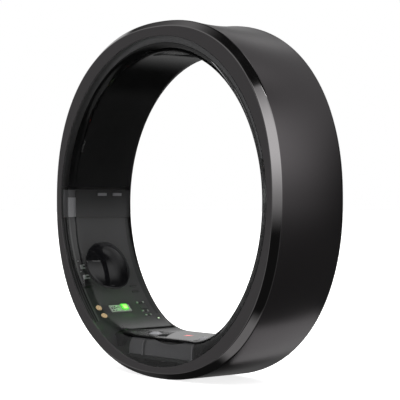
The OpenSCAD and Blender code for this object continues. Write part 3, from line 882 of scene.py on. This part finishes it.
def banded_mask(finish):
    """The flex circuit's dark mask, with a pale line and black lines along its front edge and a
    darker band at the back, set by where a point lies along the finger. The nearly black band at
    the very front edge is painted shadow beside the shell's lip."""
    mask = grained("circuit_mask", finish.mask, 0.5, 0.08, 20000.0, 5e-7, IOR=1.5)
    tree = mask.node_tree
    shader = tree.nodes["Principled BSDF"]
    axes = split_axes(tree, add_node(tree, "TexCoord").outputs["Object"])
    reach = add_node(tree, "MapRange", {"Value": axes["Y"], "From Min": -CIRCUIT_REACH * MM,
                                        "From Max": CIRCUIT_REACH * MM})
    ramp = add_node(tree, "ValToRGB", {"Fac": reach.outputs["Result"]})
    ramp.color_ramp.interpolation = "CONSTANT"
    elements = ramp.color_ramp.elements
    elements.remove(elements[1])
    elements[0].color = (*[CIRCUIT_BANDS_AND_SHADE[0][1]] * 3, 1)
    for y, tone in CIRCUIT_BANDS_AND_SHADE[1:]:
        elements.new((y / CIRCUIT_REACH + 1) / 2).color = (tone, tone, tone, 1)
    above = work_out(tree, "GREATER_THAN", axes["Z"], CIRCUIT_LOW_Z * MM)
    banded = blend_colours(tree, above, shader.inputs["Base Color"].links[0].from_socket,
                           ramp.outputs["Color"], "MULTIPLY")
    below = work_out(tree, "SUBTRACT", 1.0, above)
    put_inputs(tree, shader, {
        "Base Color": blend_colours(tree, below, banded, (0.11, 0.11, 0.112))})
    return mask


class RING_OT_circuit(bpy.types.Operator):
    """Gives the circuit, the cell and the small parts behind the resin their finishes."""
    bl_idname = "ring.circuit"
    bl_label = "Circuit parts"

    def execute(self, context):
        finish = context.scene.ring_finish
        finishes = {
            banded_mask(finish): ["flex_circuit"],
            grained("board_mask", (0.05, 0.058, 0.052), 0.4, 0.08, 20000.0, 5e-7):
                ["sensor_board", "board_interposers"],
            grained("cell_film", (0.006, 0.006, 0.0062), 0.6, 0.08, 12000.0, 8e-7):
                ["battery_film"],
            grained("header_mask", (0.07, 0.07, 0.07), 0.5, 0.08, 20000.0, 5e-7):
                ["battery_header", "resistors"],
            grained("cell_foil", (0.27, 0.27, 0.27), 0.35, 0.1, 5000.0, 2e-6, metallic=1.0):
                ["battery"],
            grained("amber_tape", (0.45, 0.3, 0.12), 0.4, 0.1, 9000.0, 1e-6):
                ["battery_tape", "circuit_tape"],
            grained("nickel", finish.nickel, 0.4, 0.08, 30000.0, 4e-7, metallic=0.6):
                ["battery_terminals", "carrier_pins", "crystal"],
            grained("sensor_moulding", (0.08, 0.08, 0.08), 0.5, 0.08, 30000.0, 6e-7):
                ["temperature_sensor"],
            grained("chip_moulding", (0.015, 0.015, 0.016), 0.6, 0.08, 50000.0, 8e-7):
                ["sensor_front_end", "main_processor", "memory_chip", "power_chip",
                 "accelerometer"],
            grained("antenna_ceramic", (0.42, 0.45, 0.42), 0.5, 0.08, 30000.0, 6e-7):
                ["chip_antenna"],
            grained("silicon", (0.02, 0.022, 0.03), 0.15, 0.05, 20000.0, 2e-7, metallic=0.5):
                ["side_photodiode", "floor_photodiodes"],
            grained("carrier_black", (0.006, 0.006, 0.006), 0.5, 0.08, 30000.0, 6e-7):
                ["sensor_carrier"],
            grained("frame_grey", (0.31, 0.31, 0.315), 0.5, 0.08, 20000.0, 6e-7):
                ["shield_frame"],
            grained("ceramic", (0.12, 0.10, 0.08), 0.5, 0.1, 30000.0, 6e-7):
                ["power_inductor"],
        }
        for material, names in finishes.items():
            for name in names:
                wear(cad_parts[name], material)
        return {"FINISHED"}


class RING_OT_studio(bpy.types.Operator):
    """Sets the camera, the pale floor, the world and the lights."""
    bl_idname = "ring.studio"
    bl_label = "Studio"

    def execute(self, context):
        scene, studio = context.scene, context.scene.ring_studio
        scene.view_settings.view_transform = "Standard"
        add_camera(scene, studio)
        add_world(scene, studio)
        add_floor(cad_box[0][2])
        add_lights(studio, context.scene.ring_leds)
        return {"FINISHED"}


def direction(azimuth, elevation):
    """Unit vector at an azimuth from the front towards the right and an elevation, in radians."""
    return Vector((math.sin(azimuth) * math.cos(elevation),
                   -math.cos(azimuth) * math.cos(elevation), math.sin(elevation)))


def aim(thing, back, distance):
    """Puts a camera or lamp at a distance along a direction, looking at the ring's centre."""
    thing.location = back * distance
    thing.rotation_euler = back.to_track_quat("Z", "Y").to_euler()


def add_camera(scene, studio):
    """The photograph's camera, which looks at the ring's centre."""
    data = bpy.data.cameras.new("photo_camera")
    data.lens = studio.camera_lens
    data.sensor_width = 36.0
    data.shift_x = studio.camera_shift
    data.clip_start = 0.005
    camera = bpy.data.objects.new("photo_camera", data)
    scene.collection.objects.link(camera)
    aim(camera, direction(studio.camera_azimuth, studio.camera_elevation),
        studio.camera_distance)
    scene.camera = camera


# Softboxes round the ring, as azimuths from the front towards the right and elevations in degrees
# (low, high, softness of each edge), and their brightness, where 1 is white. The thin strip at 51
# to 53 degrees draws the bright line on the large lens. The rest is the brightness between them.
SOFTBOXES = (
    {"azimuth": (16, 100, 10, 20), "elevation": (3, 52, 30, 2), "white": 0.3},
    {"azimuth": (16, 100, 10, 20), "elevation": (3, 42, 30, 30), "white": 0.72},
    {"azimuth": (100, 138, 20, 44), "elevation": (3, 42, 30, 26), "white": 0.78},
    {"azimuth": (140, 218, 24, 16), "elevation": (20, 75, 24, 20), "white": 0.3},
    {"azimuth": (135, 172, 20, 20), "elevation": (52, 84, 16, 16), "white": 0.3},
    {"azimuth": (208, 238, 18, 12), "elevation": (30, 41, 4, 18), "white": 0.58},
    {"azimuth": (218, 262, 8, 20), "elevation": (3, 24, 3, 6), "white": 0.5},
    {"azimuth": (-100, 0, 30, 30), "elevation": (-34, 60, 20, 24), "white": 0.285},
    {"azimuth": (42, 88, 12, 8), "elevation": (51.2, 53, 0.8, 0.8), "white": 2.4},
    {"azimuth": (-42, 60, 34, 20), "elevation": (-90, -55, 2, 10), "white": 0.28},
    {"azimuth": (70, 190, 20, 20), "elevation": (-75, -8, 20, 10), "white": 0.05},
    {"azimuth": (205, 245, 10, 10), "elevation": (-31, -14, 22, 6), "white": 0.2},
)
SOFTBOX_REST = 0.012


def soft_window(tree, source, low, high, soft_low, soft_high):
    """One between low and high, and zero outside them, with soft edges. All are in degrees, and
    the source is in radians."""
    edges = []
    for middle, reach in ((low, soft_low / 2), (high, -soft_high / 2)):
        ends = {"From Min": math.radians(middle - reach), "From Max": math.radians(middle + reach)}
        edges.append(add_node(tree, "MapRange", {"Value": source, **ends},
                              interpolation_type="SMOOTHSTEP").outputs["Result"])
    return work_out(tree, "MULTIPLY", *edges)


def softbox_light(tree):
    """The brightness of the softboxes in the direction of a ray. A softbox that reaches past the
    back is measured by an azimuth from nought to a full turn."""
    axes = split_axes(tree, add_node(tree, "TexCoord").outputs["Generated"])
    azimuth = work_out(tree, "ARCTAN2", axes["X"], work_out(tree, "MULTIPLY", axes["Y"], -1.0))
    full_turn = work_out(tree, "FLOORED_MODULO", azimuth, 2 * math.pi)
    level = work_out(tree, "ARCSINE", axes["Z"])
    total = SOFTBOX_REST
    for box in SOFTBOXES:
        source = azimuth if box["azimuth"][1] <= 180 else full_turn
        lit = work_out(tree, "MULTIPLY", soft_window(tree, source, *box["azimuth"]),
                       soft_window(tree, level, *box["elevation"]))
        total = work_out(tree, "ADD", total, work_out(tree, "MULTIPLY", lit, box["white"]))
    return total


def add_world(scene, studio):
    """White for the camera, soft patches of light for reflections and for what is seen through
    the resin, and a plain fill for diffuse light."""
    world = scene.world = bpy.data.worlds.new("studio_world")
    world.use_nodes = True
    tree = world.node_tree
    tree.nodes.clear()
    rays = add_node(tree, "LightPath").outputs
    shiny = work_out(tree, "MAXIMUM", rays["Is Glossy Ray"], rays["Is Transmission Ray"])
    direct = work_out(tree, "LESS_THAN", rays["Diffuse Depth"], 0.5)
    shiny = work_out(tree, "MULTIPLY", shiny, direct)
    plain = work_out(tree, "MULTIPLY", work_out(tree, "SUBTRACT", 1.0, shiny), studio.fill)
    boxes = work_out(tree, "MULTIPLY", shiny, softbox_light(tree))
    seen = work_out(tree, "MAXIMUM", work_out(tree, "ADD", plain, boxes), rays["Is Camera Ray"])
    background = add_node(tree, "Background", {"Color": (1, 1, 1), "Strength": seen})
    add_node(tree, "OutputWorld", {"Surface": background.outputs[0]})


def add_floor(low):
    """A plain pale floor under the ring, which keeps its shadow and isn't seen in reflections."""
    half = 3.0
    corners = [(-half, -half, low), (half, -half, low), (half, half, low), (-half, half, low)]
    floor = put_piece("pale_floor", [(np.array(corners), [[(0, 1, 2, 3)]])], smooth=False)
    material, tree, shader, _ = new_material("pale_floor")
    put_inputs(tree, shader, {"Base Color": (0.8, 0.8, 0.8), "Roughness": 0.9})
    glow = add_node(tree, "Emission", {"Color": (1, 1, 1), "Strength": 0.78})
    lit = add_node(tree, "AddShader", {0: shader.outputs[0], 1: glow.outputs[0]})
    camera_ray = add_node(tree, "LightPath").outputs["Is Camera Ray"]
    seen = add_node(tree, "MixShader", {0: camera_ray, 1: shader.outputs[0], 2: lit.outputs[0]})
    put_inputs(tree, tree.nodes["Material Output"], {"Surface": seen.outputs[0]})
    wear(floor, material)
    floor.visible_glossy = floor.visible_transmission = False


def add_lamp(name, kind, watts, hidden, **settings):
    """A lamp with its settings, hidden from the named kinds of ray."""
    data = bpy.data.lights.new(name, kind)
    data.energy = watts
    for key, value in settings.items():
        setattr(data, key, value)
    lamp = bpy.data.objects.new(name, data)
    bpy.context.scene.collection.objects.link(lamp)
    for ray in hidden:
        setattr(lamp, "visible_" + ray, False)
    return lamp


# Name, azimuth and elevation in degrees, distance, width and height in metres, and strength as
# a multiple of the key.
LARGE_LAMPS = (("overhead", 180, 70, 0.5, 0.5, 0.5, 20), ("front_box", 35, 42, 0.4, 0.12, 0.2, 6))


def add_lights(studio, leds):
    """An overhead lamp and a softbox in front, which light the matt surfaces; a tiny green lamp
    inside the resin, which spreads the lit chip's colour; and a small card that lies on the
    floor behind the ring and shows only in reflections, on the low part of the barrel."""
    unseen = ("camera", "glossy", "transmission")
    for name, azimuth, elevation, distance, width, height, strength in LARGE_LAMPS:
        lamp = add_lamp(name, "AREA", studio.key * strength, unseen, shape="RECTANGLE",
                        size=width, size_y=height)
        aim(lamp, direction(math.radians(azimuth), math.radians(elevation)), distance)
    glow = add_lamp("green_glow", "POINT", 4e-5, unseen, color=(0.15, 1.0, 0.12),
                    shadow_soft_size=0.15 * MM)
    glow_radius = 11.72 * MM
    glow.location = wall_seat(leds.module_turn, leds.module_y + leds.chip_shift, glow_radius,
                              leds.seat_drop)[0]
    card = add_lamp("bounce_card", "AREA", 0.95e-4, ("camera", "diffuse", "transmission"),
                    shape="RECTANGLE", size=5.2 * MM, size_y=12 * MM)
    card.location = (8.9 * MM, 5 * MM, cad_box[0][2] + 0.05 * MM)
    card.rotation_euler = (math.pi, 0, 0)


class RING_PT_panel(bpy.types.Panel):
    """Sidebar panel that lists the ring's builders and sizes."""
    bl_idname = "RING_PT_panel"
    bl_label = "Smart Ring"
    bl_space_type = "VIEW_3D"
    bl_region_type = "UI"
    bl_category = "Ring"

    def draw(self, context):
        for step in BUILD_STEPS:
            self.layout.operator(step.bl_idname)
        for group in (getattr(context.scene, name) for name in GROUPS):
            for name in group.__annotations__:
                self.layout.prop(group, name)


GROUPS = {"ring_shape": RingShape, "ring_lens": LensShape, "ring_leds": LedShape,
          "ring_finish": RingFinish, "ring_studio": StudioSetup}
BUILD_STEPS = (RING_OT_shell, RING_OT_resin, RING_OT_lenses, RING_OT_leds, RING_OT_contacts,
               RING_OT_passives, RING_OT_circuit, RING_OT_studio)
CLASSES = (*GROUPS.values(), *BUILD_STEPS, RING_PT_panel)


def register():
    for cls in CLASSES:
        bpy.utils.register_class(cls)
    for name, group in GROUPS.items():
        setattr(bpy.types.Scene, name, PointerProperty(type=group))


def unregister():
    for name in GROUPS:
        delattr(bpy.types.Scene, name)
    for cls in reversed(CLASSES):
        bpy.utils.unregister_class(cls)


def main():
    register()
    for step in BUILD_STEPS:
        group, operator = step.bl_idname.split(".")
        getattr(getattr(bpy.ops, group), operator)()


if __name__ == "__main__":
    main()
